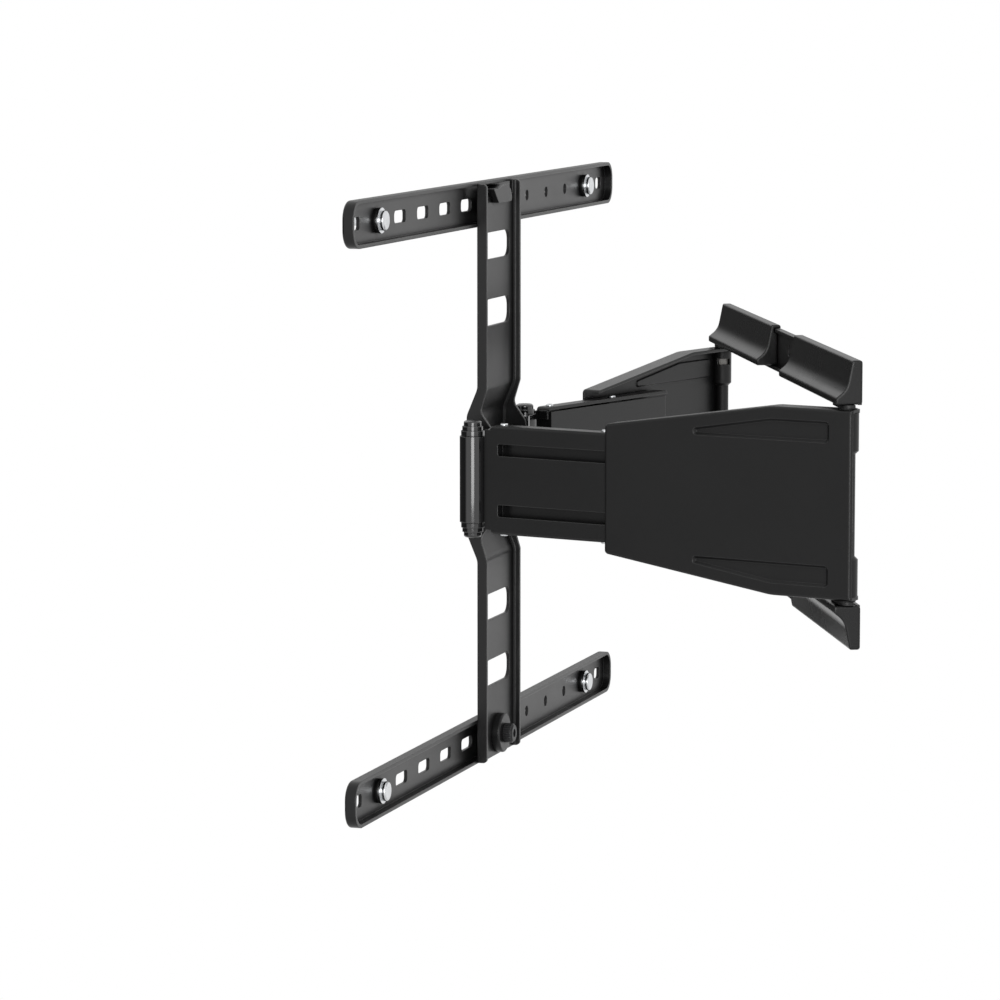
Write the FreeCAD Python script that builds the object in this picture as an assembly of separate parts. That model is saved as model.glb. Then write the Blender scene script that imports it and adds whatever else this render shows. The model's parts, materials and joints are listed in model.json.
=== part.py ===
import FreeCAD, Part
import math
import os

from FreeCAD import Vector

# Tilt and swivel wall mount for a flat screen, in millimetres.
# The wall is the plane Y = 0 with +Y into it, X runs along the wall and Z is up.
# Each arm is drawn along its own u (wall to head), v (outer side) and z, the panel side along
# its own x (along the rails), y (toward the wall) and z, and both are then set in the rest pose.

# Rest pose of the panel: turned and pulled out from the wall pivots
REST_TURN = 24.7
REST_OUT = 226.0
REST_ASIDE = 2.3

# Wall frame
WALL_SPAN = 510.0
PIVOT_STANDOFF = 8.5
RAIL_SHEET = 2.5
LUG_THICKNESS = 2.5
LUG_RADIUS = 6.4
LUG_REACH = 24.0
LUG_STANDOFF = 4.8
WALL_RAIL_TOP = 99.0
WALL_RAIL_LIP = 5.0
WALL_RAIL_FOOT = 6.5
WALL_RAIL_OVERHANG = 3.7
WALL_SCREW_SPACING = 406.4
WALL_SCREW_RISE = 86.0
WALL_SCREW_HOLE = 8.5
WALL_SCREW_SLOT = 34.0
WALL_PIN = 8.0
THRUST_WASHER = 0.8
THRUST_WASHER_WIDTH = 12.4

# Covers over the wall rails
COVER_HEIGHT = 31.0
COVER_TOP_DEPTH = 7.5
COVER_LIP_DEPTH = 19.0
COVER_LIP_HEIGHT = 4.6
COVER_WAIST_DEPTH = 11.6
COVER_WAIST_HEIGHT = 10.5
COVER_SWEEP = 14.0
COVER_WALL = 2.0
COVER_GAP = 92.0
COVER_END = 6.0
COVER_SEAT = 0.4
COVER_END_ROUND = 1.2
COVER_CORNER = 1.6
COVER_BACK_CORNER = 2.0

# Arms
ARM_SHEET = 2.5
ARM_BEND = 2.0
PLATE_PIN_GAP = 0.5
OUTER_REACH = 193.0
OUTER_TAIL = 6.0
OUTER_WALL_HEIGHT = 134.4
OUTER_OPEN_HEIGHT = 94.0
OUTER_PARALLEL = 58.0
OUTER_KNEE = 40.0
OUTER_FLANGE = 16.0
OUTER_CORNER = 3.0
OUTER_END_ROUND = 2.3
POCKET_DEPTH = 2.0
POCKET_BULGE = 1.0
POCKET_MARGIN = 8.8
POCKET_HEIGHT = 15.0
POCKET_TIP_HEIGHT = 5.2
POCKET_START = 12.0
POCKET_END = 120.0
POCKET_KNEE = 24.0
POCKET_CORNER = 3.0
WALL_TUBE = 10.0
WALL_TUBE_END = 14.6
WALL_TUBE_END_LOW = 36.0
WALL_TUBE_STEP = 2.2
WALL_TUBE_SHELL = 1.9
BUSH = 8.9
BUSH_LOW = 53.0
BUSH_HIGH = 58.0
SLIDE_PLAY = 2.4
INNER_LENGTH = 180.0
INNER_HEIGHT = 80.0
INNER_FLANGE = 12.5
INNER_FLANGE_START = 14.5
INNER_SETBACK = 10.2
SLOT_RISE = 22.4
SLOT_HEIGHT = 8.8
SLOT_CORNER = 1.6
BACK_SHEET = 1.5
BACK_GAP = 1.4
SLOT_START = 21.5
SLOT_MARGIN = 8.0
STUD_LEAD = 24.855
STUD_SPACING = 14.0
STUD_PLAY = 0.3
STUD_HEAD = 12.0
STUD_HEAD_HEIGHT = 2.4
BLOCK_LENGTH = 16.0
BLOCK_HEIGHT = 7.0
BLOCK_PLACES = (22.5, 108.0)
SCREW_SHANK = 3.6
SCREW_HEAD = 5.8
SCREW_HEAD_HEIGHT = 1.6

# Head hinges and tilt
HINGE_ASIDE = 18.1
HEAD_OFFSET = 12.0
HINGE_TUBE = 19.0
HINGE_TUBE_HEIGHT = 63.4
HINGE_GAP = 0.3
EAR_THICKNESS = 3.8
EAR_WIDTH = 17.0
HEAD_PIN = 8.0
PIN_FIT = 0.05
PIN_COLLAR = 15.2
PIN_COLLAR_HEIGHT = 3.2
PIN_CAP = 13.0
PIN_CAP_HEIGHT = 4.1
PIN_CAP_ROUND = 1.6
CHEEK_PLATE = 3.4
TILT_AXLE = 8.0
TILT_CLAMP = 6.0
TILT_CLAMP_DROP = 22.0
TILT_RANGE_UP = 5.0
TILT_RANGE_DOWN = 10.0
TILT_SLOT_PLAY = 0.6
FRICTION_WASHER = 1.0
FRICTION_WASHER_WIDTH = 16.0
TILT_HEAD_HEIGHT = 4.5
TILT_HEAD_FLATS = 1.7

# Vertical strip
STRIP_WIDTH = 84.0
STRIP_SHEET = 2.5
STRIP_TOP = 215.0
STRIP_BOTTOM = -216.0
STRIP_FLANGE = 7.4
STRIP_JOG_START = 64.0
STRIP_JOG_END = 44.0
STRIP_JOG_ROUND = 12.0
STRIP_WAIST = 10.5
STRIP_WAIST_RISE = 47.0
STRIP_CHEEK = 20.5
STRIP_CHEEK_RISE = 33.0
STRIP_RIM_ROUND = 7.0
STRIP_CORNER = 3.0
STRIP_BEND = 2.2
STRIP_NOTCH = 205.0
WINDOW_WIDTH = 60.0
WINDOW_HEIGHT = 20.0
WINDOW_CORNER = 8.0
WINDOW_RISES = (168.5, 119.0, -101.5, -151.5)

# Rails for the screen
PANEL_RAIL_LENGTH = 630.0
PANEL_RAIL_HEIGHT = 33.0
PANEL_RAIL_DEPTH = 8.3
PANEL_RAIL_SHEET = 2.5
PANEL_RAIL_ROUND = 13.0
PANEL_RAIL_BEND = 1.8
PANEL_PITCH = 50.0
PANEL_SCREW_SPAN = 500.0
PANEL_SCREW_RISE = 400.0
PANEL_SLOT = 25.0
PANEL_SLOT_HEIGHT = 9.0
PANEL_SLOT_CORNER = 3.2
PANEL_HOLE = 8.4
PANEL_END_SLOT = 15.0
PANEL_END_SLOT_INSET = 22.0
PANEL_SCREW = 8.0
PANEL_SCREW_NECK = 7.6
PANEL_SCREW_REACH = 16.0
PANEL_SCREW_HEAD = 14.0
PANEL_SCREW_HEAD_HEIGHT = 3.6
PANEL_WASHER = 18.0
PANEL_WASHER_THICKNESS = 1.6
PANEL_SPACER = 17.4
PANEL_SPACER_HEIGHT = 2.4

# Hook at the top and lock screw at the bottom of the strip
HOOK_WIDTH = 41.0
HOOK_THICKNESS = 5.0
HOOK_LEAN = 2.2
HOOK_HEIGHT = 21.0
HOOK_CROWN = 8.0
HOOK_DROP = 5.0
HOOK_DIP = 3.1
HOOK_DIP_ROUND = 40.0
HOOK_NEAR_DROP = 1.7
HOOK_FAR_DROP = 4.0
HOOK_SLANT = 7.0
HOOK_CORNER = 5.5
HOOK_PLAY = 0.4
LOCK_RISE = -199.6
LOCK_BOSS = 29.6
LOCK_BOSS_HEIGHT = 6.0
LOCK_SCREW = 8.0
LOCK_KNOB = 14.6
LOCK_KNOB_HEIGHT = 7.2
LOCK_KNOB_CHAMFER = 1.4
LOCK_SOCKET = 6.0
LOCK_SOCKET_DEPTH = 4.0
LOCK_KNURLS = 24
LOCK_KNURL_DEPTH = 0.5

# Places that follow from the sizes above
SIDES = {"right": 1, "left": -1}
OUTER_FACE = WALL_PIN / 2 + PLATE_PIN_GAP + ARM_SHEET
INNER_FACE = OUTER_FACE - ARM_SHEET - SLIDE_PLAY
INNER_BACK = INNER_FACE - ARM_SHEET
OUTER_TOP = OUTER_WALL_HEIGHT / 2
LUG_UNDER = OUTER_TOP + THRUST_WASHER
LUG_OVER = LUG_UNDER + LUG_THICKNESS
COVER_FOOT = LUG_OVER + COVER_SEAT
COVER_TOP = COVER_FOOT + COVER_HEIGHT
WALL_RAIL_HALF = WALL_SPAN / 2 + WALL_RAIL_OVERHANG
EAR_UNDER = HINGE_TUBE_HEIGHT / 2 + HINGE_GAP
EAR_OVER = EAR_UNDER + EAR_THICKNESS
COLLAR_OVER = EAR_OVER + PIN_COLLAR_HEIGHT
PIN_TOP = COLLAR_OVER + PIN_CAP_HEIGHT
CHEEK_INNER = STRIP_WIDTH / 2 + FRICTION_WASHER
CHEEK_OUTER = CHEEK_INNER + CHEEK_PLATE
HEAD_SPAN = 2 * (CHEEK_OUTER + HINGE_ASIDE)
STRIP_BACK = PANEL_RAIL_DEPTH
STRIP_RIM = STRIP_BACK + STRIP_FLANGE
UP = Vector(0, 0, 1)
AXES = {"x": Vector(1, 0, 0), "y": Vector(0, 1, 0), "z": UP}


def rounded_wire(corners, radii, lift):
    """Closed outline through flat corners, each corner rounded by its own radius."""
    count = len(corners)
    if not isinstance(radii, (list, tuple)):
        radii = [radii] * count
    points = [Vector(a, b, 0) for a, b in corners]
    runs = []
    for i, point in enumerate(points):
        back = (points[i - 1] - point).normalize()
        ahead = (points[(i + 1) % count] - point).normalize()
        if radii[i] <= 0:
            runs.append((point, None, point))
            continue
        half = back.getAngle(ahead) / 2
        run = radii[i] / math.tan(half)
        split = (back + ahead).normalize()
        middle = point + split * (radii[i] / math.sin(half) - radii[i])
        runs.append((point + back * run, middle, point + ahead * run))
    edges = []
    for i, (start, middle, end) in enumerate(runs):
        if middle is not None:
            edges.append(Part.Arc(lift(start), lift(middle), lift(end)).toShape())
        following = runs[(i + 1) % count][0]
        if (following - end).Length > 1e-6:
            edges.append(Part.LineSegment(lift(end), lift(following)).toShape())
    return Part.Wire(edges)


def slab(plane, corners, radii, low, high):
    """Rounded outline in the xy, xz or yz plane, extruded along the third axis."""
    lifts = {
        "xy": lambda p: Vector(p.x, p.y, low),
        "xz": lambda p: Vector(p.x, low, p.y),
        "yz": lambda p: Vector(low, p.x, p.y),
    }
    along = {"xy": AXES["z"], "xz": AXES["y"], "yz": AXES["x"]}[plane]
    wire = rounded_wire(corners, radii, lifts[plane])
    return Part.Face(wire).extrude(along * (high - low))


def pill(plane, centre, width, height, radius, low, high):
    """Rounded rectangle about a centre, extruded."""
    a, b = centre
    w, h = width / 2, height / 2
    corners = [(a - w, b - h), (a + w, b - h), (a + w, b + h), (a - w, b + h)]
    return slab(plane, corners, radius, low, high)


def box(x, y, z):
    """Block between three pairs of limits."""
    size = [high - low for low, high in (x, y, z)]
    return Part.makeBox(*size, Vector(x[0], y[0], z[0]))


def rod(axis, centre, diameter, low, high):
    """Round bar along one axis; centre gives the other two coordinates in order."""
    a, b = centre
    base = {"x": Vector(low, a, b), "y": Vector(a, low, b), "z": Vector(a, b, low)}[axis]
    return Part.makeCylinder(diameter / 2, high - low, base, AXES[axis])


def hexagon(axis, centre, across, low, high):
    """Hexagonal bar along x with flats the given distance apart."""
    reach = across / math.sqrt(3)
    turns = [math.radians(60 * i) for i in range(6)]
    corners = [(centre[0] + reach * math.cos(t), centre[1] + reach * math.sin(t)) for t in turns]
    plane = {"x": "yz", "y": "xz"}[axis]
    return slab(plane, corners, 0, low, high)


def mirrored(shape, normal):
    """Copy of a shape on the other side of a plane through the origin."""
    return shape.mirror(Vector(0, 0, 0), normal)


def both_heights(shape):
    """A shape and its twin below the middle plane."""
    return [shape, mirrored(shape, UP)]


def edges_along(shape, test):
    """Edges whose end points and middle all pass a test."""
    chosen = []
    for edge in shape.Edges:
        first, last = edge.FirstParameter, edge.LastParameter
        points = [edge.valueAt(first), edge.valueAt((first + last) / 2), edge.valueAt(last)]
        if all(test(p) for p in points):
            chosen.append(edge)
    return chosen


def in_panel_frame(x, y):
    """Row place of a point given along the rails and toward the wall."""
    turn = math.radians(REST_TURN)
    row_x = REST_ASIDE + x * math.cos(turn) + y * math.sin(turn)
    row_y = -PIVOT_STANDOFF - REST_OUT - x * math.sin(turn) + y * math.cos(turn)
    return Vector(row_x, row_y, 0)


def place_panel(shape):
    """Set a shape drawn in the panel's own axes into the rest pose."""
    placed = shape.copy()
    placed.rotate(Vector(0, 0, 0), UP, -REST_TURN)
    placed.translate(in_panel_frame(0, 0))
    return placed


def arm_pose(side):
    """Reach along the arm, and its turn about the wall pivot, for one side."""
    sign = SIDES[side]
    pivot = Vector(sign * WALL_SPAN / 2, -PIVOT_STANDOFF, 0)
    line = in_panel_frame(sign * HEAD_SPAN / 2, HEAD_OFFSET) - pivot
    reach = math.sqrt(line.Length ** 2 - INNER_FACE ** 2)
    lead = math.atan2(INNER_FACE, reach)
    turn = math.atan2(line.y, line.x) - sign * lead
    return pivot, reach, math.degrees(turn)


def place_arm(shape, side):
    """Set a shape drawn along an arm into the rest pose; the left arm is a mirror image."""
    pivot, _, turn = arm_pose(side)
    placed = shape.copy() if side == "right" else mirrored(shape, AXES["y"])
    placed.rotate(Vector(0, 0, 0), UP, turn)
    placed.translate(pivot)
    return placed


def wall_rail():
    """Upper wall rail: a web on the wall, a top lip and a foot with a pivot lug at each end."""
    half = WALL_RAIL_HALF
    web = box((-half, half), (-RAIL_SHEET, 0), (LUG_UNDER, WALL_RAIL_TOP))
    lip = box((-half, half), (-WALL_RAIL_LIP, 0), (WALL_RAIL_TOP - RAIL_SHEET, WALL_RAIL_TOP))
    foot = box((-half, half), (-WALL_RAIL_FOOT, 0), (LUG_UNDER, LUG_OVER))
    rail = web.fuse([lip, foot])
    front = -PIVOT_STANDOFF - LUG_RADIUS
    for sign in SIDES.values():
        middle = sign * WALL_SPAN / 2
        root = middle - sign * LUG_REACH
        relief = box(sorted((root, sign * (half + 1))), (-LUG_STANDOFF, 1), (LUG_UNDER - 1, LUG_OVER))
        rail = rail.cut(relief)
        tip = middle + sign * LUG_RADIUS
        corners = [(root, -LUG_STANDOFF), (root, front), (tip, front), (tip, -LUG_STANDOFF)]
        arm = [(root - sign * LUG_RADIUS, -RAIL_SHEET), (root - sign * LUG_RADIUS, front),
               (root, front), (root, -RAIL_SHEET)]
        lug = slab("xy", corners, [0, 0, LUG_RADIUS * 0.99, 1.0], LUG_UNDER, LUG_OVER)
        root_plate = slab("xy", arm, [0, LUG_RADIUS * 0.9, 0, 0], LUG_UNDER, LUG_OVER)
        rail = rail.fuse([lug, root_plate])
        bore = WALL_PIN + 2 * PIN_FIT
        rail = rail.cut(rod("z", (middle, -PIVOT_STANDOFF), bore, LUG_UNDER - 1, LUG_OVER + 1))
    for sign in SIDES.values():
        slot = pill("xz", (sign * WALL_SCREW_SPACING / 2, WALL_SCREW_RISE), WALL_SCREW_SLOT, WALL_SCREW_HOLE,
                    WALL_SCREW_HOLE / 2 - 0.01, -RAIL_SHEET - 1, 1)
        rail = rail.cut(slot)
    rail = rail.cut(rod("y", (0, WALL_SCREW_RISE), WALL_SCREW_HOLE, -RAIL_SHEET - 1, 1))
    return rail.removeSplitter()


def cover_profile(wall):
    """Side outline of a cover, drawn in by a wall thickness; it sweeps out to the lip."""
    foot = COVER_FOOT + wall
    lip = COVER_FOOT + COVER_LIP_HEIGHT + (wall * 0.1 if wall else 0)
    corners = [(0, foot), (0, COVER_TOP - wall), (wall - COVER_TOP_DEPTH, COVER_TOP - wall),
               (wall - COVER_WAIST_DEPTH, COVER_FOOT + COVER_WAIST_HEIGHT),
               (wall - COVER_LIP_DEPTH, lip), (wall - COVER_LIP_DEPTH, foot)]
    sweep = COVER_SWEEP - wall
    if wall:
        return corners, [0, 0, COVER_CORNER / 2, sweep, COVER_CORNER / 2, COVER_CORNER / 2]
    return corners, [COVER_BACK_CORNER, COVER_BACK_CORNER, COVER_CORNER, sweep, COVER_CORNER, COVER_CORNER]


def cover():
    """Upper right cover: a thin shell, closed at both ends, that sits over the wall rail."""
    start = COVER_GAP / 2
    end = WALL_SPAN / 2 + COVER_END
    shell = slab("yz", *cover_profile(0), start, end)
    rims = edges_along(shell, lambda p: p.y < -1e-6 and min(abs(p.x - start), abs(p.x - end)) < 1e-6)
    rims = [edge for edge in rims if max(vertex.Y for vertex in edge.Vertexes) < -COVER_CORNER]
    shell = shell.makeFillet(COVER_END_ROUND, rims)
    hollow = slab("yz", *cover_profile(COVER_WALL), start + COVER_WALL, end - COVER_WALL)
    seat = COVER_SEAT
    web = box((0, end - COVER_WALL), (-RAIL_SHEET - seat, 1), (0, WALL_RAIL_TOP + seat))
    lip = box((0, end - COVER_WALL), (-WALL_RAIL_LIP - seat, 1),
              (WALL_RAIL_TOP - RAIL_SHEET - seat, WALL_RAIL_TOP + seat))
    return shell.cut(hollow.fuse([web, lip]))


def outer_outline(inset):
    """Side outline of an outer plate, with its edges drawn in by a distance."""
    high = OUTER_WALL_HEIGHT / 2 - inset
    low = OUTER_OPEN_HEIGHT / 2 - inset
    tail = -LUG_RADIUS
    open_end = OUTER_REACH + inset
    corners = [(tail, -high), (OUTER_PARALLEL, -high), (open_end, -low),
               (open_end, low), (OUTER_PARALLEL, high), (tail, high)]
    return corners, [0, OUTER_KNEE, OUTER_CORNER, OUTER_CORNER, OUTER_KNEE, 0]


def pocket(low, high):
    """Upper teardrop outline, its upper edge along the plate's taper, between two depths."""
    top = OUTER_WALL_HEIGHT / 2 - POCKET_MARGIN
    bottom = top - POCKET_HEIGHT
    tip = bottom + POCKET_TIP_HEIGHT
    corners = [(POCKET_START, bottom), (POCKET_END, bottom), (POCKET_END, tip),
               (OUTER_PARALLEL, top), (POCKET_START, top)]
    tip_round = POCKET_TIP_HEIGHT * 0.42
    radii = [POCKET_CORNER, tip_round, tip_round, POCKET_KNEE, POCKET_CORNER]
    return slab("xz", corners, radii, low, high)


def outer_plate():
    """Tapered pressed plate with flanges to its inner side, pivot holes and two pockets."""
    back = OUTER_FACE - OUTER_FLANGE
    plate = slab("xz", *outer_outline(0), back, OUTER_FACE)
    rim = edges_along(plate, lambda p: abs(p.y - OUTER_FACE) < 1e-6 and abs(p.z) > OUTER_OPEN_HEIGHT / 2 - 4
                      and -LUG_RADIUS < p.x < OUTER_REACH + 1e-6)
    plate = plate.makeFillet(ARM_BEND, rim)
    corners, radii = outer_outline(ARM_SHEET)
    plate = plate.cut(slab("xz", corners, radii, back - 1, OUTER_FACE - ARM_SHEET))
    tall = OUTER_WALL_HEIGHT
    web_end = box((-2 * LUG_RADIUS, -OUTER_TAIL), (back - 1, OUTER_FACE + 1),
                  (ARM_SHEET - tall / 2, tall / 2 - ARM_SHEET))
    plate = plate.cut(web_end).Solids[0]
    end = edges_along(plate, lambda p: abs(p.x + OUTER_TAIL) < 1e-6 and abs(p.y - OUTER_FACE) < 1e-6)
    plate = plate.makeFillet(OUTER_END_ROUND, end)
    tongue = [(-LUG_RADIUS, back), (2 * OUTER_REACH, back), (2 * OUTER_REACH, OUTER_FACE),
              (-LUG_RADIUS, OUTER_FACE)]
    plate = plate.common(slab("xy", tongue, [LUG_RADIUS * 0.9, 0, 0, OUTER_END_ROUND], -tall, tall))
    plate = plate.cut(rod("z", (0, 0), WALL_PIN + 2 * PIN_FIT, -tall, tall))
    inside = OUTER_FACE - ARM_SHEET
    bulge = pocket(inside - POCKET_BULGE, inside)
    crown = edges_along(bulge, lambda p: abs(p.y - inside + POCKET_BULGE) < 1e-6)
    plate = plate.fuse(both_heights(bulge.makeChamfer(POCKET_BULGE * 0.9, crown)))
    recess = pocket(OUTER_FACE - POCKET_DEPTH, OUTER_FACE + 1)
    floor = edges_along(recess, lambda p: abs(p.y - OUTER_FACE + POCKET_DEPTH) < 1e-6)
    for sloped in both_heights(recess.makeChamfer(POCKET_DEPTH * 0.9, floor)):
        plate = plate.cut(sloped)
    return plate


def wall_tube():
    """Tube of an arm round its wall pivot, wider at both ends and open to the inside at the bushes."""
    high = OUTER_TOP - ARM_SHEET
    tube = rod("z", (0, 0), WALL_TUBE, -WALL_TUBE_END_LOW, WALL_TUBE_END_LOW)
    step = Part.makeCone(WALL_TUBE / 2, WALL_TUBE_END / 2, WALL_TUBE_STEP, Vector(0, 0, WALL_TUBE_END_LOW))
    end = rod("z", (0, 0), WALL_TUBE_END, WALL_TUBE_END_LOW + WALL_TUBE_STEP, high)
    window = rod("z", (0, 0), 2 * WALL_TUBE_END, BUSH_LOW, BUSH_HIGH)
    wall_side = box((-WALL_TUBE_END, 0), (-WALL_TUBE_END, WALL_TUBE_END), (BUSH_LOW, BUSH_HIGH))
    wall_side = wall_side.fuse(box((-1, WALL_TUBE_END), (0, WALL_TUBE_END), (BUSH_LOW, BUSH_HIGH)))
    room = rod("z", (0, 0), WALL_TUBE_END - 2 * WALL_TUBE_SHELL, BUSH_LOW, BUSH_HIGH)
    end = end.cut(window.cut(wall_side).fuse(room))
    tube = tube.fuse(both_heights(step) + both_heights(end)).removeSplitter()
    web = box((-WALL_TUBE_END, WALL_TUBE_END), (OUTER_FACE - ARM_SHEET, WALL_TUBE_END), (-high, high))
    return tube.cut(web).cut(rod("z", (0, 0), WALL_PIN + 2 * PIN_FIT, -high, high))


def arm_bushes():
    """Pale bushes on the pivot pin, in the tube's openings."""
    ring = rod("z", (0, 0), BUSH, BUSH_LOW, BUSH_HIGH)
    return both_heights(ring.cut(rod("z", (0, 0), WALL_PIN + 2 * PIN_FIT, BUSH_LOW, BUSH_HIGH)))


def guide_studs():
    """Headed studs on the outer plate, a set way in from the slots' ends when the arm is drawn out."""
    shank_width = SLOT_HEIGHT - 2 * STUD_PLAY
    under_head = INNER_BACK - SLIDE_PLAY
    _, longest, _ = arm_pose("right")
    middle = longest - INNER_LENGTH + SLOT_MARGIN + STUD_LEAD
    studs = []
    for place in (-STUD_SPACING / 2, STUD_SPACING / 2):
        centre = (middle + place, SLOT_RISE)
        shank = rod("y", centre, shank_width, under_head, OUTER_FACE - ARM_SHEET)
        head = rod("y", centre, STUD_HEAD, under_head - STUD_HEAD_HEIGHT, under_head)
        studs += both_heights(shank.fuse(head).removeSplitter())
    return studs


def inner_plate(reach):
    """Sliding channel with two long slots, joined to the hinge tube at its head end."""
    far = reach - INNER_LENGTH
    half = INNER_HEIGHT / 2
    back = INNER_FACE - INNER_FLANGE
    head_end = reach - INNER_FLANGE_START
    corners = [(far, -half), (head_end, -half), (head_end, half), (far, half)]
    plate = slab("xz", corners, OUTER_CORNER, back, INNER_FACE)
    rim = edges_along(plate, lambda p: abs(p.y - INNER_FACE) < 1e-6 and abs(p.z) > half - 1e-6)
    plate = plate.makeFillet(ARM_BEND, rim)
    inside = box((far - 1, head_end + 1), (back - 1, INNER_BACK), (ARM_SHEET - half, half - ARM_SHEET))
    plate = plate.cut(inside)
    shoulder = box((head_end - OUTER_CORNER, reach - INNER_SETBACK), (INNER_BACK, INNER_FACE),
                   (OUTER_CORNER - half, half - OUTER_CORNER))
    tongue_half = HINGE_TUBE_HEIGHT / 2 - HINGE_GAP
    tongue = box((reach - INNER_SETBACK, reach - INNER_FACE), (INNER_BACK, INNER_FACE),
                 (-tongue_half, tongue_half))
    plate = plate.fuse([shoulder, tongue]).removeSplitter()
    plate = plate.cut(rod("z", (reach, INNER_FACE), HINGE_TUBE, -half, half))
    middle = reach - (SLOT_START + INNER_LENGTH - SLOT_MARGIN) / 2
    length = INNER_LENGTH - SLOT_MARGIN - SLOT_START
    for slot in both_heights(pill("xz", (middle, SLOT_RISE), length, SLOT_HEIGHT, SLOT_CORNER,
                                  INNER_BACK - 1, INNER_FACE + 1)):
        plate = plate.cut(slot)
    for hole in flange_screw_rods(reach, SCREW_SHANK, half - 2 * ARM_SHEET, half + 1):
        plate = plate.cut(hole)
    return plate


def back_plate(reach):
    """Sheet on the blocks' backs that closes the sliding channel, a little short of its flanges."""
    inside = INNER_HEIGHT / 2 - ARM_SHEET
    half = inside - BACK_GAP
    back = INNER_FACE - INNER_FLANGE
    ends = (reach - INNER_LENGTH + OUTER_CORNER, reach - INNER_FLANGE_START - OUTER_CORNER)
    sheet = box(ends, (back, back + BACK_SHEET), (-half, half))
    clear = inside - BLOCK_HEIGHT
    end_wall = box((ends[1] - BACK_SHEET, ends[1]), (back, INNER_BACK), (-clear, clear))
    return sheet.fuse(end_wall).removeSplitter()


def flange_screw_rods(reach, diameter, low, high):
    """Upright rods at each flange screw's place, above and below."""
    depth = INNER_BACK - (INNER_FLANGE - ARM_SHEET) / 2
    rods = []
    for place in BLOCK_PLACES:
        rods += both_heights(rod("z", (reach - place, depth), diameter, low, high))
    return rods


def flange_blocks(reach):
    """Moulded blocks under the flanges that the flange screws hold."""
    top = INNER_HEIGHT / 2 - ARM_SHEET
    back = INNER_FACE - INNER_FLANGE
    blocks = []
    for place in BLOCK_PLACES:
        middle = reach - place
        ends = (middle - BLOCK_LENGTH / 2, middle + BLOCK_LENGTH / 2)
        block = box(ends, (back + BACK_SHEET, INNER_BACK), (top - BLOCK_HEIGHT, top))
        for hole in flange_screw_rods(reach, SCREW_SHANK, top - BLOCK_HEIGHT / 2, top + 1):
            block = block.cut(hole)
        blocks += both_heights(block)
    return blocks


def flange_screws(reach):
    """Small bright pan-head screws through the flanges into the blocks."""
    top = INNER_HEIGHT / 2
    shanks = flange_screw_rods(reach, SCREW_SHANK, top - ARM_SHEET - BLOCK_HEIGHT / 2, top)
    heads = flange_screw_rods(reach, SCREW_HEAD, top, top + SCREW_HEAD_HEIGHT)
    screws = []
    for shank, head in zip(shanks, heads):
        crown = edges_along(head, lambda p: abs(abs(p.z) - top - SCREW_HEAD_HEIGHT) < 1e-6)
        screws.append(shank.fuse(head.makeFillet(SCREW_HEAD_HEIGHT * 0.7, crown)).removeSplitter())
    return screws


def hinge_tube(reach):
    """Tube at the head end of an arm."""
    half = HINGE_TUBE_HEIGHT / 2
    centre = (reach, INNER_FACE)
    bore = rod("z", centre, HEAD_PIN + 2 * PIN_FIT, -half, half)
    return rod("z", centre, HINGE_TUBE, -half, half).cut(bore)


def head_bracket():
    """Right C-shaped bracket: a cheek plate beside the strip and two ears round the hinge pin."""
    pin = HEAD_SPAN / 2
    wide = HINGE_TUBE / 2
    cheek = box((CHEEK_INNER, CHEEK_OUTER), (HEAD_OFFSET - wide, HEAD_OFFSET + wide), (-EAR_OVER, EAR_OVER))
    ends = (HEAD_OFFSET - EAR_WIDTH / 2, HEAD_OFFSET + EAR_WIDTH / 2)
    ear_corners = [(CHEEK_INNER, ends[0]), (pin, ends[0]), (pin, ends[1]), (CHEEK_INNER, ends[1])]
    ear = slab("xy", ear_corners, 0, EAR_UNDER, EAR_OVER)
    ear = ear.fuse(rod("z", (pin, HEAD_OFFSET), EAR_WIDTH, EAR_UNDER, EAR_OVER))
    bracket = cheek.fuse(both_heights(ear)).removeSplitter()
    bracket = bracket.cut(rod("z", (pin, HEAD_OFFSET), HEAD_PIN, -EAR_OVER, EAR_OVER))
    bracket = bracket.cut(rod("x", (HEAD_OFFSET, 0), TILT_AXLE, 0, pin))
    return bracket.cut(rod("x", (HEAD_OFFSET, -TILT_CLAMP_DROP), TILT_CLAMP, 0, pin))


def head_pin(sign):
    """Hinge pin through the collars, the ears and the tube."""
    return rod("z", (sign * HEAD_SPAN / 2, HEAD_OFFSET), HEAD_PIN, -PIN_TOP, PIN_TOP)


def pin_collars(sign):
    """Stepped round collars on both ends of a hinge pin, outside the ears."""
    centre = (sign * HEAD_SPAN / 2, HEAD_OFFSET)
    cap = rod("z", centre, PIN_CAP, EAR_OVER, PIN_TOP)
    cap = cap.makeFillet(PIN_CAP_ROUND, edges_along(cap, lambda p: abs(p.z - PIN_TOP) < 1e-6))
    collar = cap.fuse(rod("z", centre, PIN_COLLAR, EAR_OVER, COLLAR_OVER)).removeSplitter()
    return both_heights(collar.cut(rod("z", centre, HEAD_PIN, EAR_OVER, PIN_TOP)))


def tilt_bolt(diameter, rise):
    """Cross bolt from cheek to cheek with a hexagon head on the left."""
    centre = (HEAD_OFFSET, rise)
    head = hexagon("x", centre, diameter * TILT_HEAD_FLATS, -CHEEK_OUTER - TILT_HEAD_HEIGHT, -CHEEK_OUTER)
    return rod("x", centre, diameter, -CHEEK_OUTER, CHEEK_OUTER + TILT_HEAD_HEIGHT).fuse(head)


def tilt_nut(diameter, rise):
    """Hexagon nut on the right end of a cross bolt."""
    centre = (HEAD_OFFSET, rise)
    nut = hexagon("x", centre, diameter * TILT_HEAD_FLATS, CHEEK_OUTER, CHEEK_OUTER + TILT_HEAD_HEIGHT)
    return nut.cut(rod("x", centre, diameter, CHEEK_OUTER, CHEEK_OUTER + TILT_HEAD_HEIGHT))


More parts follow.
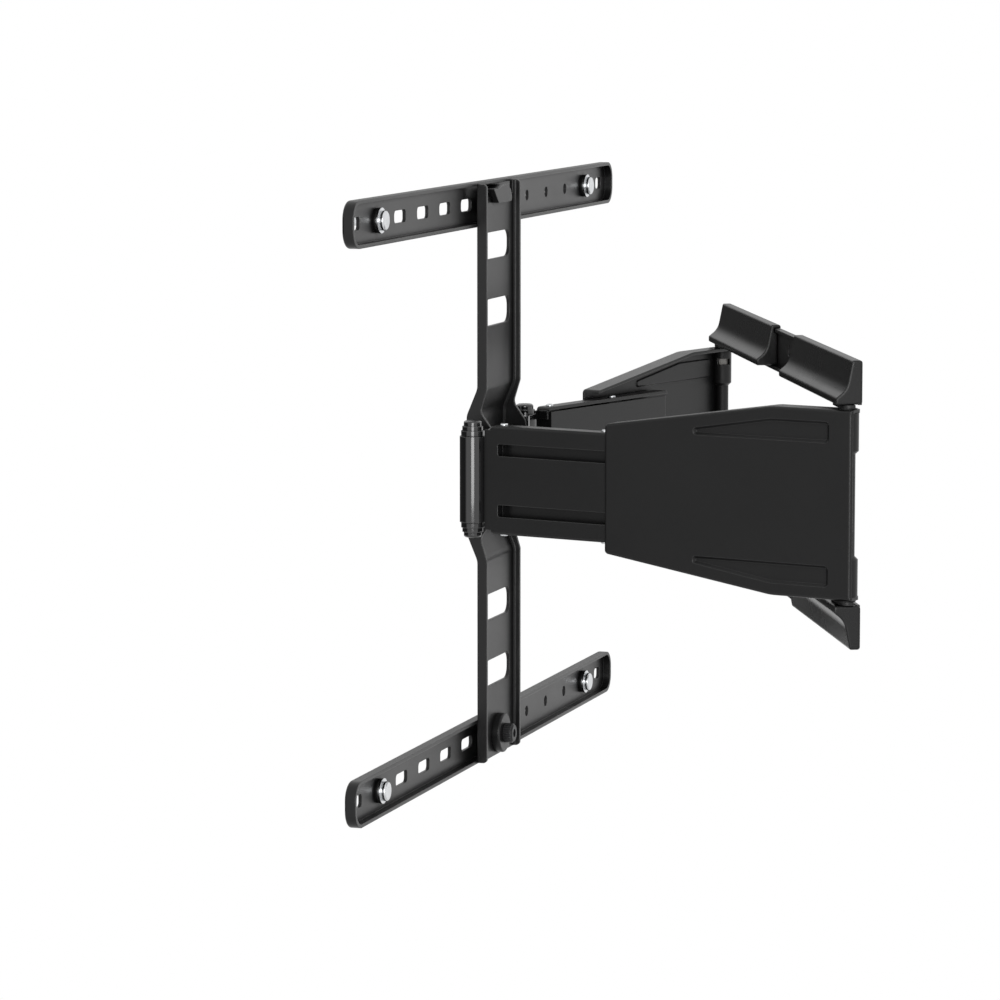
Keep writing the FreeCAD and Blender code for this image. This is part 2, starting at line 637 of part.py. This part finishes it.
def friction_washers():
    """Washers between the strip's cheeks and the bracket's cheek plates."""
    low = STRIP_WIDTH / 2
    ring = rod("x", (HEAD_OFFSET, 0), FRICTION_WASHER_WIDTH, low, low + FRICTION_WASHER)
    ring = ring.cut(rod("x", (HEAD_OFFSET, 0), TILT_AXLE, low, low + FRICTION_WASHER))
    return [ring, mirrored(ring, AXES["x"])]


def strip_side(depth):
    """Upper half of a line along the strip's side: straight, then a jog toward the screen."""
    return [(STRIP_BACK + depth, STRIP_JOG_START), (depth, STRIP_JOG_END)]


def strip_back_line(depth, past):
    """Line down the back of the strip at a depth from its screen side, run past both ends."""
    upper = strip_side(depth)
    lower = [(y, -z) for y, z in reversed(upper)]
    first = (STRIP_BACK + depth, STRIP_TOP + past)
    last = (STRIP_BACK + depth, STRIP_BOTTOM - past)
    return [first] + upper + lower + [last]


def strip_rim_line():
    """Free edge of the flanges: it dips behind the jog and swells into the tilt cheeks."""
    upper = [(STRIP_RIM, STRIP_TOP), (STRIP_RIM, STRIP_JOG_START), (STRIP_WAIST, STRIP_WAIST_RISE),
             (STRIP_CHEEK, STRIP_CHEEK_RISE)]
    lower = [(y, -z) for y, z in reversed(upper[1:])]
    return upper + lower + [(STRIP_RIM, STRIP_BOTTOM)]


def strip_solid():
    """Blank of the strip between its screen side and the flanges' free edge."""
    back = strip_back_line(0, 0)
    rim = list(reversed(strip_rim_line()))
    turn = STRIP_JOG_ROUND
    rim_turn = STRIP_RIM_ROUND
    radii = [0, turn, turn, turn, turn, 0, STRIP_CORNER] + [rim_turn] * 6 + [STRIP_CORNER]
    half = STRIP_WIDTH / 2
    return slab("yz", back + rim, radii, -half, half)


def strip_hollow():
    """Room between the flanges, from the web's wall side outward."""
    back = strip_back_line(STRIP_SHEET, 1)
    far = STRIP_CHEEK + STRIP_RIM
    corners = back + [(far, STRIP_BOTTOM - 1), (far, STRIP_TOP + 1)]
    turn = STRIP_JOG_ROUND
    half = STRIP_WIDTH / 2 - STRIP_SHEET
    hollow = slab("yz", corners, [0, turn, turn, turn, turn, 0, 0, 0], -half, half)
    bend = edges_along(hollow, lambda p: p.y < STRIP_RIM - 1 and abs(abs(p.x) - half) < 1e-6)
    return hollow.makeFillet(STRIP_BEND, bend)


def tilt_slot():
    """Curved slots in the cheeks for the clamp bolt, about the tilt axle."""
    width = TILT_CLAMP + 2 * TILT_SLOT_PLAY
    inner = TILT_CLAMP_DROP - width / 2
    outer = TILT_CLAMP_DROP + width / 2
    start = -90 - TILT_RANGE_DOWN
    sweep = TILT_RANGE_UP + TILT_RANGE_DOWN
    base = Vector(-STRIP_WIDTH, HEAD_OFFSET, 0)
    arc = Part.makeCylinder(outer, 2 * STRIP_WIDTH, base, AXES["x"])
    arc = arc.cut(Part.makeCylinder(inner, 2 * STRIP_WIDTH, base, AXES["x"]))
    turns = [math.radians(start), math.radians(start + sweep)]
    ends = [(HEAD_OFFSET + TILT_CLAMP_DROP * math.cos(t), TILT_CLAMP_DROP * math.sin(t)) for t in turns]
    reach = 2 * TILT_CLAMP_DROP
    rays = [(HEAD_OFFSET + reach * math.cos(t), reach * math.sin(t)) for t in turns]
    wedge = slab("yz", [(HEAD_OFFSET, 0)] + rays, 0, -STRIP_WIDTH, STRIP_WIDTH)
    caps = [rod("x", end, width, -STRIP_WIDTH, STRIP_WIDTH) for end in ends]
    return arc.common(wedge).fuse(caps)


def vertical_strip():
    """Long pressed channel that carries both rails and tilts between the head's brackets."""
    strip = strip_solid().cut(strip_hollow())
    for rise in WINDOW_RISES:
        window = pill("xz", (0, rise), WINDOW_WIDTH, WINDOW_HEIGHT, WINDOW_CORNER, 0, STRIP_RIM)
        strip = strip.cut(window)
    free = STRIP_WIDTH / 2 - STRIP_SHEET - STRIP_BEND
    strip = strip.cut(box((-free, free), (0, STRIP_RIM), (STRIP_NOTCH, STRIP_TOP + 1)))
    axle_hole = TILT_AXLE + 2 * PIN_FIT
    strip = strip.cut(rod("x", (HEAD_OFFSET, 0), axle_hole, -STRIP_WIDTH, STRIP_WIDTH))
    strip = strip.cut(tilt_slot())
    return strip.cut(rod("y", (0, LOCK_RISE), LOCK_SCREW, 0, STRIP_RIM))


def panel_rail():
    """Shallow pressed tray with oblong slots toward the right end and round holes toward the left."""
    rail = pill("xz", (0, 0), PANEL_RAIL_LENGTH, PANEL_RAIL_HEIGHT, PANEL_RAIL_ROUND, 0, PANEL_RAIL_DEPTH)
    base = edges_along(rail, lambda p: abs(p.y) < 1e-6)
    rail = rail.makeFillet(PANEL_RAIL_BEND, base)
    sheet = PANEL_RAIL_SHEET
    tray = pill("xz", (0, 0), PANEL_RAIL_LENGTH - 2 * sheet, PANEL_RAIL_HEIGHT - 2 * sheet,
                PANEL_RAIL_ROUND - sheet, sheet, PANEL_RAIL_DEPTH + 1)
    rail = rail.cut(tray)
    screw_step = round(PANEL_SCREW_SPAN / 2 / PANEL_PITCH)
    for step in range(1, screw_step + 1):
        place = step * PANEL_PITCH if step < screw_step else PANEL_SCREW_SPAN / 2
        hole = rod("y", (place, 0), PANEL_HOLE, -1, PANEL_RAIL_DEPTH)
        rail = rail.cut(mirrored(hole, AXES["x"]))
        slot = pill("xz", (place, 0), PANEL_SLOT, PANEL_SLOT_HEIGHT, PANEL_SLOT_CORNER, -1, PANEL_RAIL_DEPTH)
        rail = rail.cut(slot if step < screw_step else hole)
    for sign in SIDES.values():
        place = sign * (PANEL_RAIL_LENGTH / 2 - PANEL_END_SLOT_INSET)
        slot = pill("xz", (place, 0), PANEL_END_SLOT, PANEL_SLOT_HEIGHT, PANEL_SLOT_CORNER, -1,
                    PANEL_RAIL_DEPTH)
        rail = rail.cut(slot)
    return rail


def screen_screw_places():
    """Places of the four screws along the rails and in height."""
    across, rise = PANEL_SCREW_SPAN / 2, PANEL_SCREW_RISE / 2
    return [(x, z) for x in (-across, across) for z in (-rise, rise)]


def screen_fasteners():
    """Screws for the screen with their washers and spacers, four of each."""
    seat = PANEL_RAIL_SHEET
    washer_low = seat + PANEL_SPACER_HEIGHT
    washer_high = washer_low + PANEL_WASHER_THICKNESS
    screws, washers, spacers = [], [], []
    for centre in screen_screw_places():
        shank = rod("y", centre, PANEL_SCREW, -PANEL_SCREW_REACH, 0)
        shank = shank.fuse(rod("y", centre, PANEL_SCREW_NECK, 0, washer_high))
        top = washer_high + PANEL_SCREW_HEAD_HEIGHT
        head = rod("y", centre, PANEL_SCREW_HEAD, washer_high, top)
        crown = edges_along(head, lambda p: abs(p.y - top) < 1e-6)
        screws.append(shank.fuse(head.makeFillet(PANEL_SCREW_HEAD_HEIGHT * 0.4, crown)).removeSplitter())
        washer = rod("y", centre, PANEL_WASHER, washer_low, washer_high)
        washers.append(washer.cut(rod("y", centre, PANEL_SCREW_NECK, washer_low, washer_high)))
        spacer = rod("y", centre, PANEL_SPACER, seat, washer_low)
        spacers.append(spacer.cut(rod("y", centre, PANEL_SCREW_NECK, seat, washer_low)))
    return screws, washers, spacers


def top_hook():
    """Hook on the upper rail that carries the strip by the top edge of its web."""
    back = PANEL_RAIL_SHEET
    near = STRIP_BACK - HOOK_PLAY
    far = STRIP_BACK + STRIP_SHEET + HOOK_PLAY
    front = far + HOOK_THICKNESS
    top = STRIP_NOTCH + HOOK_CROWN
    low = top - HOOK_HEIGHT
    tip = STRIP_NOTCH - HOOK_DROP
    corners = [(back, tip), (back, top), (front - HOOK_LEAN, top), (front, tip), (far, tip),
               (far, STRIP_NOTCH), (near, STRIP_NOTCH), (near, tip)]
    half = HOOK_WIDTH / 2
    hook = slab("yz", corners, 0, -half, half)
    outline = [(-half, tip), (half - HOOK_SLANT, tip), (half, top - HOOK_NEAR_DROP),
               (half * 0.45, top - HOOK_DIP), (-half * 0.4, top), (-half, top - HOOK_FAR_DROP)]
    radii = [HOOK_CORNER, HOOK_CORNER / 3, 1.0, HOOK_DIP_ROUND, 2 * HOOK_CORNER, HOOK_CORNER / 2]
    face = slab("xz", outline, radii, back, front)
    root = box((-half + HOOK_CORNER, half - HOOK_SLANT - HOOK_CORNER), (back, near), (low, STRIP_NOTCH))
    return hook.common(face).fuse(root).removeSplitter()


def lock_boss():
    """Disc under the lock screw on the strip's web."""
    seat = STRIP_BACK + STRIP_SHEET
    disc = rod("y", (0, LOCK_RISE), LOCK_BOSS, seat, seat + LOCK_BOSS_HEIGHT)
    front = edges_along(disc, lambda p: abs(p.y - seat - LOCK_BOSS_HEIGHT) < 1e-6)
    disc = disc.makeFillet(LOCK_BOSS_HEIGHT / 4, front)
    return disc.cut(rod("y", (0, LOCK_RISE), LOCK_SCREW, seat, seat + LOCK_BOSS_HEIGHT))


def lock_screw():
    """Knurled socket screw that locks the strip to the lower rail."""
    seat = STRIP_BACK + STRIP_SHEET + LOCK_BOSS_HEIGHT
    top = seat + LOCK_KNOB_HEIGHT
    centre = (0, LOCK_RISE)
    knob = rod("y", centre, LOCK_KNOB, seat, top)
    crown = edges_along(knob, lambda p: abs(p.y - top) < 1e-6)
    knob = knob.makeChamfer(LOCK_KNOB_CHAMFER, crown)
    for i in range(LOCK_KNURLS):
        turn = 2 * math.pi * i / LOCK_KNURLS
        groove = (LOCK_KNOB / 2 * math.cos(turn), LOCK_RISE + LOCK_KNOB / 2 * math.sin(turn))
        knob = knob.cut(rod("y", groove, 2 * LOCK_KNURL_DEPTH, seat, top))
    knob = knob.cut(hexagon("y", centre, LOCK_SOCKET, top - LOCK_SOCKET_DEPTH, top + 1))
    return knob.fuse(rod("y", centre, LOCK_SCREW, 0, seat)).removeSplitter()


def wall_pin(sign):
    """Pivot pin between the lugs of the two wall rails."""
    return rod("z", (sign * WALL_SPAN / 2, -PIVOT_STANDOFF), WALL_PIN, -LUG_OVER, LUG_OVER)


def thrust_washers():
    """Washers between the lugs and the arms' flanges."""
    rings = []
    for sign in SIDES.values():
        centre = (sign * WALL_SPAN / 2, -PIVOT_STANDOFF)
        ring = rod("z", centre, THRUST_WASHER_WIDTH, OUTER_TOP, LUG_UNDER)
        rings += both_heights(ring.cut(rod("z", centre, WALL_PIN, OUTER_TOP, LUG_UNDER)))
    return rings


def wall_pieces():
    """Pieces that stay on the wall."""
    rail = wall_rail()
    right = cover()
    left = mirrored(right, AXES["x"])
    pieces = {
        "wall_top_rail": rail,
        "wall_bottom_rail": mirrored(rail, UP),
        "cover_top_right": right,
        "cover_top_left": left,
        "cover_bottom_right": mirrored(right, UP),
        "cover_bottom_left": mirrored(left, UP),
        "thrust_washers": Part.makeCompound(thrust_washers()),
    }
    for side, sign in SIDES.items():
        pieces[side + "_wall_pin"] = wall_pin(sign)
    return pieces


def arm_pieces(side):
    """Pieces of one arm, set in the rest pose."""
    _, reach, _ = arm_pose(side)
    drawn = {
        "outer_plate": outer_plate(),
        "wall_tube": wall_tube(),
        "arm_bushes": Part.makeCompound(arm_bushes()),
        "guide_studs": Part.makeCompound(guide_studs()),
        "inner_plate": inner_plate(reach),
        "back_plate": back_plate(reach),
        "flange_blocks": Part.makeCompound(flange_blocks(reach)),
        "flange_screws": Part.makeCompound(flange_screws(reach)),
        "hinge_tube": hinge_tube(reach),
    }
    return {side + "_" + name: place_arm(shape, side) for name, shape in drawn.items()}


def head_pieces():
    """Pieces between the arms and the strip, set in the rest pose."""
    right = head_bracket()
    drawn = {
        "right_head_bracket": right,
        "left_head_bracket": mirrored(right, AXES["x"]),
        "tilt_axle": tilt_bolt(TILT_AXLE, 0),
        "tilt_axle_nut": tilt_nut(TILT_AXLE, 0),
        "tilt_clamp_bolt": tilt_bolt(TILT_CLAMP, -TILT_CLAMP_DROP),
        "tilt_clamp_nut": tilt_nut(TILT_CLAMP, -TILT_CLAMP_DROP),
        "friction_washers": Part.makeCompound(friction_washers()),
    }
    for side, sign in SIDES.items():
        drawn[side + "_head_pin"] = head_pin(sign)
        drawn[side + "_pin_collars"] = Part.makeCompound(pin_collars(sign))
    return {name: place_panel(shape) for name, shape in drawn.items()}


def panel_pieces():
    """Pieces that tilt with the screen, set in the rest pose."""
    rail = panel_rail()
    screws, washers, spacers = screen_fasteners()
    rise = PANEL_SCREW_RISE / 2
    lower = rail.translated(Vector(0, 0, -rise))
    drawn = {
        "vertical_strip": vertical_strip(),
        "top_panel_rail": rail.translated(Vector(0, 0, rise)),
        "bottom_panel_rail": lower.cut(rod("y", (0, LOCK_RISE), LOCK_SCREW, -1, PANEL_RAIL_DEPTH)),
        "top_hook": top_hook(),
        "lock_boss": lock_boss(),
        "lock_screw": lock_screw(),
        "screen_screws": Part.makeCompound(screws),
        "screen_washers": Part.makeCompound(washers),
        "screen_spacers": Part.makeCompound(spacers),
    }
    return {name: place_panel(shape) for name, shape in drawn.items()}


def main():
    """Build every piece and write one file for each."""
    pieces = wall_pieces()
    for side in SIDES:
        pieces.update(arm_pieces(side))
    pieces.update(head_pieces())
    pieces.update(panel_pieces())
    os.makedirs("parts", exist_ok=True)
    for name, shape in pieces.items():
        shape.exportStep("parts/" + name + ".step")
        print(name, len(shape.Solids), shape.isValid(), round(shape.Volume / 1000, 2), "cm3")


main()
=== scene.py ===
import json
import math

import bpy
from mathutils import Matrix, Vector

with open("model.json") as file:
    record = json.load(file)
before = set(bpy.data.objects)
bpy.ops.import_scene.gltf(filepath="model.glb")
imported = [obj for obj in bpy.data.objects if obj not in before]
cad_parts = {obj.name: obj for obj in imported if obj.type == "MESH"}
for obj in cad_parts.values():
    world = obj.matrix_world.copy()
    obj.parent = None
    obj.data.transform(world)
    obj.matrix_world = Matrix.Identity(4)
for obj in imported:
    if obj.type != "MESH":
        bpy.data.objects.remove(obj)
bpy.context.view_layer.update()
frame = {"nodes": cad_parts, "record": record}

# Camera, fitted to the photograph's viewing angle: place in metres, turns in degrees, lens in millimetres
CAMERA_PLACE = (3.2884, -0.6317, 0.3787)
CAMERA_AZIMUTH = 82.9
CAMERA_DROP = 6.93
CAMERA_LENS = 160.0
SENSOR_WIDTH = 36.0

# Floor: sizes in metres, its grey, how much paler its clouds are, and the share of shadow near its middle
FLOOR_HEIGHT = -0.75
FLOOR_SIZE = 5.0
FLOOR_SHADE = 0.5
FLOOR_CLOUD_SCALE = 0.6
FLOOR_CLOUD_TONE = 1.04
FLOOR_ROUGHNESS = 0.9
FLOOR_SHADOW_SHARE = 0.3
FLOOR_SHADOW_FADE = (0.6, 1.4)

# Soft box: place, aim and size in metres, power in watts
BOX_PLACE = (4.1, -0.7, 0.55)
BOX_AIM = (0.0, -0.15, 0.0)
BOX_SIZE = (1.9, 2.2)
BOX_POWER = 75.0

# World: strength of the soft light, and the dark side that reflections show in place of the screen
AMBIENT = 0.3
DARK_SIDE = (-0.66, -0.75, 0.0)
DARK_FADE = (0.3, 0.62)
DARK_TOP = (0.1, 0.26)
DARK_LEVEL = 0.06
UP = (0.0, 0.0, 1.0)

# Rounding that the shader gives to pressed and moulded edges, and reach of the painted shade in corners, in
# metres
EDGE_ROUND = 0.0009
MOULDED_ROUND = 0.0018
CORNER_REACH = 0.004

# Shine that rounded edges have beyond the flat faces, and the share of shine left deep in corners under the
# painted corner shade
EDGE_SHEEN = 0.6
CORNER_SHEEN = 0.1

# Spans of the shader's raw values that are stretched to a full change
CLOUD_SPAN = (0.3, 0.7)
SPECK_SPAN = (0.45, 0.75)
RUB_SPAN = (0.35, 0.7)
EDGE_SPAN = (0.99, 0.75)
OPEN_SPAN = (0.35, 0.95)
FULL = (0.0, 1.0)

# Noise scales per metre, and samples of the edge and corner nodes
CLOUD_SCALE = 9.0
RUB_SCALE = 60.0
PLATE_CLOUD_SCALE = 120.0
EDGE_SAMPLES = 6

# Tones as multiples of a finish's own colour, and how far they mix in
DARK_TONE = 0.82
PALE_TONE = 1.18
SPECK_TONE = 1.8
SPECK_SHARE = 0.35
PLATE_DARK_TONE = 0.72
PLATE_DARK_SHARE = 0.6

# Plated steel: colour and share of its bright edges, depth of its turning marks in metres
PLATE_EDGE_SHADE = (0.95, 0.95, 0.95)
PLATE_EDGE_SHARE = 0.5
PLATE_MARK_DEPTH = 0.00002
PLATE_MARK_STRETCH = (1, 1, 6)

# Painted and moulded finishes: colours are linear, grain is per metre and its depth in metres
COATED = {
    "powder_coat": dict(shade=(0.0085, 0.0085, 0.0087), grain=2600.0, grain_depth=0.00004, rough=(0.28, 0.36),
                        worn_and_highlight_shade=(0.05, 0.05, 0.05), wear_and_highlight=0.5, sheen=0.32),
    # Moulded plastic: its paler rubbed edges are partly wear and partly a painted edge highlight.
    "black_plastic": dict(shade=(0.008, 0.008, 0.0082), grain=3800.0, grain_depth=0.000003, rough=(0.24, 0.31),
                          worn_and_highlight_shade=(0.05, 0.05, 0.05), wear_and_highlight=0.6, sheen=0.3, edge_round=MOULDED_ROUND),
    "gloss_coat": dict(shade=(0.008, 0.008, 0.0085), grain=700.0, grain_depth=0.0000001, rough=(0.08, 0.11),
                       worn_and_highlight_shade=(0.05, 0.05, 0.05), wear_and_highlight=0.4, sheen=0.45, coat=0.8),
    "black_steel": dict(shade=(0.02, 0.02, 0.021), grain=1800.0, grain_depth=0.00003, rough=(0.3, 0.42),
                        worn_and_highlight_shade=(0.16, 0.16, 0.16), wear_and_highlight=0.8, sheen=0.3, metallic=0.2),
    "nylon": dict(shade=(0.4, 0.39, 0.37), grain=1500.0, grain_depth=0.00003, rough=(0.38, 0.5),
                  worn_and_highlight_shade=(0.55, 0.54, 0.52), wear_and_highlight=0.4),
}

# Bright plated finishes: colour, roughness range and turning marks per metre
PLATED = {
    "zinc": dict(shade=(0.72, 0.735, 0.75), rough=(0.16, 0.3), marks_scale=900.0),
}


def toned(shade, factor):
    """A colour made darker or paler by a factor."""
    return [factor * part for part in shade]


class NodeTree:
    """Nodes of a material or world, with short ways to add and link them."""

    def __init__(self, owner):
        owner.use_nodes = True
        self.nodes = owner.node_tree.nodes
        self.links = owner.node_tree.links

    def join(self, socket, value):
        """Set an input, or link it if the value is a socket."""
        if isinstance(value, bpy.types.NodeSocket):
            self.links.new(value, socket)
        else:
            socket.default_value = value

    def set(self, node, **values):
        """Set or link a node's inputs by name."""
        for key, value in values.items():
            self.join(node.inputs[key.replace("_", " ")], value)

    def add(self, kind, **values):
        """New node with its inputs set or linked."""
        node = self.nodes.new("ShaderNode" + kind)
        self.set(node, **values)
        return node

    def noise(self, scale, detail, stretch=None):
        """Noise in the part's own metres, stretched along an axis where asked."""
        place = self.add("TexCoord").outputs["Object"]
        if stretch:
            place = self.add("Mapping", Vector=place, Scale=stretch).outputs["Vector"]
        return self.add("TexNoise", Vector=place, Scale=scale, Detail=detail).outputs["Fac"]

    def ramp(self, value, span, ends, curve="LINEAR"):
        """Map a value from one range to another."""
        node = self.add("MapRange", Value=value)
        self.set(node, From_Min=span[0], From_Max=span[1], To_Min=ends[0], To_Max=ends[1])
        node.interpolation_type = curve
        return node.outputs["Result"]

    def mix(self, share, first, second):
        """Blend two colours by a share."""
        node = self.nodes.new("ShaderNodeMix")
        node.data_type = "RGBA"
        self.join(node.inputs[0], share)
        for socket, colour in ((node.inputs[6], first), (node.inputs[7], second)):
            self.join(socket, colour if isinstance(colour, bpy.types.NodeSocket) else (*colour, 1))
        return node.outputs[2]

    def math(self, operation, first, second):
        """Result of an operation on two numbers."""
        node = self.nodes.new("ShaderNodeMath")
        node.operation = operation
        self.join(node.inputs[0], first)
        self.join(node.inputs[1], second)
        return node.outputs[0]

    def multiply(self, first, second):
        """Product of two numbers."""
        return self.math("MULTIPLY", first, second)

    def larger(self, first, second):
        """The larger of two numbers."""
        return self.math("MAXIMUM", first, second)

    def subtract(self, first, second):
        """The first number less the second."""
        return self.math("SUBTRACT", first, second)

    def dot(self, first, second):
        """How far two directions agree: 1 along, 0 across."""
        node = self.nodes.new("ShaderNodeVectorMath")
        node.operation = "DOT_PRODUCT"
        self.join(node.inputs[0], first)
        self.join(node.inputs[1], second)
        return node.outputs["Value"]

    def length(self, vector):
        """Length of a vector."""
        node = self.nodes.new("ShaderNodeVectorMath")
        node.operation = "LENGTH"
        self.join(node.inputs[0], vector)
        return node.outputs["Value"]

    def soft_edges(self, radius):
        """Rounded normal, and how far it leans from the flat one: near 1 along sharp edges."""
        bevel = self.add("Bevel", Radius=radius)
        bevel.samples = EDGE_SAMPLES
        rounded = bevel.outputs["Normal"]
        lean = self.dot(rounded, self.add("NewGeometry").outputs["Normal"])
        return rounded, self.ramp(lean, EDGE_SPAN, FULL)

    def painted_corner_shade(self, reach):
        """Painted corner shade: 1 on open faces, lower in corners and recesses, where it dims the shine."""
        node = self.add("AmbientOcclusion", Distance=reach)
        node.samples = EDGE_SAMPLES
        return self.ramp(node.outputs["AO"], OPEN_SPAN, (CORNER_SHEEN, 1.0))

    def bump(self, height, depth, normal):
        """Fine relief on top of a normal."""
        return self.add("Bump", Strength=1.0, Distance=depth, Height=height, Normal=normal).outputs["Normal"]


def coated(name, shade, grain, grain_depth, rough, worn_and_highlight_shade, wear_and_highlight,
           sheen=0.5, metallic=0.0, coat=0.0, edge_round=EDGE_ROUND):
    """Painted or moulded surface: cloudy tone, grain, painted corner shade, and edges shinier and rubbed paler
    (on moulded plastic partly a painted edge highlight).
    """
    material = bpy.data.materials.new(name)
    tree = NodeTree(material)
    normal, edge = tree.soft_edges(edge_round)
    cloud = tree.noise(CLOUD_SCALE, 4.0)
    speck = tree.noise(grain, 2.0)
    # Edges rubbed paler: wear, and on moulded plastic partly a painted edge highlight.
    rub_and_highlight = tree.multiply(edge, tree.ramp(tree.noise(RUB_SCALE, 5.0), RUB_SPAN, (0.0, wear_and_highlight)))
    tone = tree.mix(tree.ramp(cloud, CLOUD_SPAN, FULL), toned(shade, DARK_TONE), toned(shade, PALE_TONE))
    tone = tree.mix(tree.ramp(speck, SPECK_SPAN, (0.0, SPECK_SHARE)), tone, toned(shade, SPECK_TONE))
    shine = tree.ramp(edge, FULL, (sheen, sheen + EDGE_SHEEN))
    # Painted shade: the ambient-occlusion share dims the shine in corners and recesses.
    tree.set(tree.nodes["Principled BSDF"],
             Base_Color=tree.mix(rub_and_highlight, tone, worn_and_highlight_shade),
             Roughness=tree.ramp(cloud, CLOUD_SPAN, rough),
             Metallic=metallic,
             Normal=tree.bump(speck, grain_depth, normal),
             Coat_Weight=coat,
             Specular_IOR_Level=tree.multiply(tree.painted_corner_shade(CORNER_REACH), shine))
    return material


def plated(name, shade, rough, marks_scale):
    """Bright plated steel with faint turning marks and a cloudy sheen."""
    material = bpy.data.materials.new(name)
    tree = NodeTree(material)
    normal, edge = tree.soft_edges(EDGE_ROUND / 2)
    marks = tree.noise(marks_scale, 2.0, PLATE_MARK_STRETCH)
    cloud = tree.noise(PLATE_CLOUD_SCALE, 3.0)
    tone = tree.mix(tree.ramp(cloud, CLOUD_SPAN, (0.0, PLATE_DARK_SHARE)), shade, toned(shade, PLATE_DARK_TONE))
    tree.set(tree.nodes["Principled BSDF"],
             Base_Color=tree.mix(tree.multiply(edge, PLATE_EDGE_SHARE), tone, PLATE_EDGE_SHADE),
             Metallic=1.0,
             Roughness=tree.ramp(marks, CLOUD_SPAN, rough),
             Normal=tree.bump(marks, PLATE_MARK_DEPTH, normal))
    return material


def finishes():
    """One material for each of the record's material slots."""
    materials = {name: coated(name, **look) for name, look in COATED.items()}
    materials.update({name: plated(name, **look) for name, look in PLATED.items()})
    return materials


def dress(materials):
    """Give every CAD node the finish of its slot."""
    for entry in frame["record"]["subparts"]:
        node = frame["nodes"][entry["node"]]
        node.data.materials.clear()
        node.data.materials.append(materials[entry["material_slot"]])


def add_floor():
    """Pale floor, white to the eye and in reflections, that keeps a faint shadow near its middle."""
    bpy.ops.mesh.primitive_plane_add(size=FLOOR_SIZE, location=(0, 0, FLOOR_HEIGHT))
    floor = bpy.context.object
    floor.name = "floor"
    material = bpy.data.materials.new("floor_white")
    tree = NodeTree(material)
    shade = [FLOOR_SHADE] * 3
    surface = tree.nodes["Principled BSDF"]
    tone = tree.mix(tree.noise(FLOOR_CLOUD_SCALE, 2.0), shade, toned(shade, FLOOR_CLOUD_TONE))
    tree.set(surface, Base_Color=tone, Roughness=FLOOR_ROUGHNESS)
    glow = tree.add("Emission", Color=(1, 1, 1, 1), Strength=1.0)
    path = tree.add("LightPath").outputs
    shown = tree.larger(path["Is Camera Ray"], path["Is Glossy Ray"])
    shown = tree.larger(shown, path["Is Transmission Ray"])
    away = tree.length(tree.add("TexCoord").outputs["Object"])
    white = tree.ramp(away, FLOOR_SHADOW_FADE, (1 - FLOOR_SHADOW_SHARE, 1.0))
    blend = tree.add("MixShader", Fac=tree.multiply(shown, white))
    tree.join(blend.inputs[1], surface.outputs[0])
    tree.join(blend.inputs[2], glow.outputs[0])
    tree.set(tree.nodes["Material Output"], Surface=blend.outputs[0])
    floor.data.materials.append(material)


def add_world():
    """White to the eye and in reflections, but dark on the screen's side; a soft even light otherwise."""
    world = bpy.data.worlds.new("studio")
    bpy.context.scene.world = world
    tree = NodeTree(world)
    ray = tree.add("TexCoord").outputs["Generated"]
    aside = tree.ramp(tree.dot(ray, Vector(DARK_SIDE).normalized()), DARK_FADE, FULL, "SMOOTHSTEP")
    above = tree.ramp(tree.dot(ray, UP), DARK_TOP, FULL, "SMOOTHSTEP")
    dark = tree.multiply(tree.larger(tree.subtract(aside, above), 0.0), 1 - DARK_LEVEL)
    path = tree.add("LightPath").outputs
    seen = tree.larger(path["Is Camera Ray"], path["Is Transmission Ray"])
    mirrored = tree.multiply(path["Is Glossy Ray"], tree.subtract(1.0, dark))
    other = tree.subtract(1.0, tree.larger(seen, path["Is Glossy Ray"]))
    strength = tree.math("ADD", tree.larger(seen, mirrored), tree.multiply(other, AMBIENT))
    tree.set(tree.nodes["Background"], Color=(1, 1, 1, 1), Strength=strength)


def add_lamp():
    """Soft box aimed at the mount."""
    data = bpy.data.lights.new("front_box", "AREA")
    data.shape = "RECTANGLE"
    data.size, data.size_y = BOX_SIZE
    data.energy = BOX_POWER
    lamp = bpy.data.objects.new("front_box", data)
    bpy.context.scene.collection.objects.link(lamp)
    lamp.location = BOX_PLACE
    lamp.rotation_euler = (Vector(BOX_AIM) - Vector(BOX_PLACE)).to_track_quat("-Z", "Y").to_euler()


def add_camera():
    """Camera at the photograph's angle."""
    data = bpy.data.cameras.new("camera")
    data.lens = CAMERA_LENS
    data.sensor_width = SENSOR_WIDTH
    camera = bpy.data.objects.new("camera", data)
    bpy.context.scene.collection.objects.link(camera)
    camera.location = CAMERA_PLACE
    camera.rotation_euler = (math.radians(90 - CAMERA_DROP), 0, math.radians(CAMERA_AZIMUTH))
    bpy.context.scene.camera = camera


dress(finishes())
add_floor()
add_world()
add_lamp()
add_camera()
bpy.context.scene.view_settings.view_transform = "Standard"
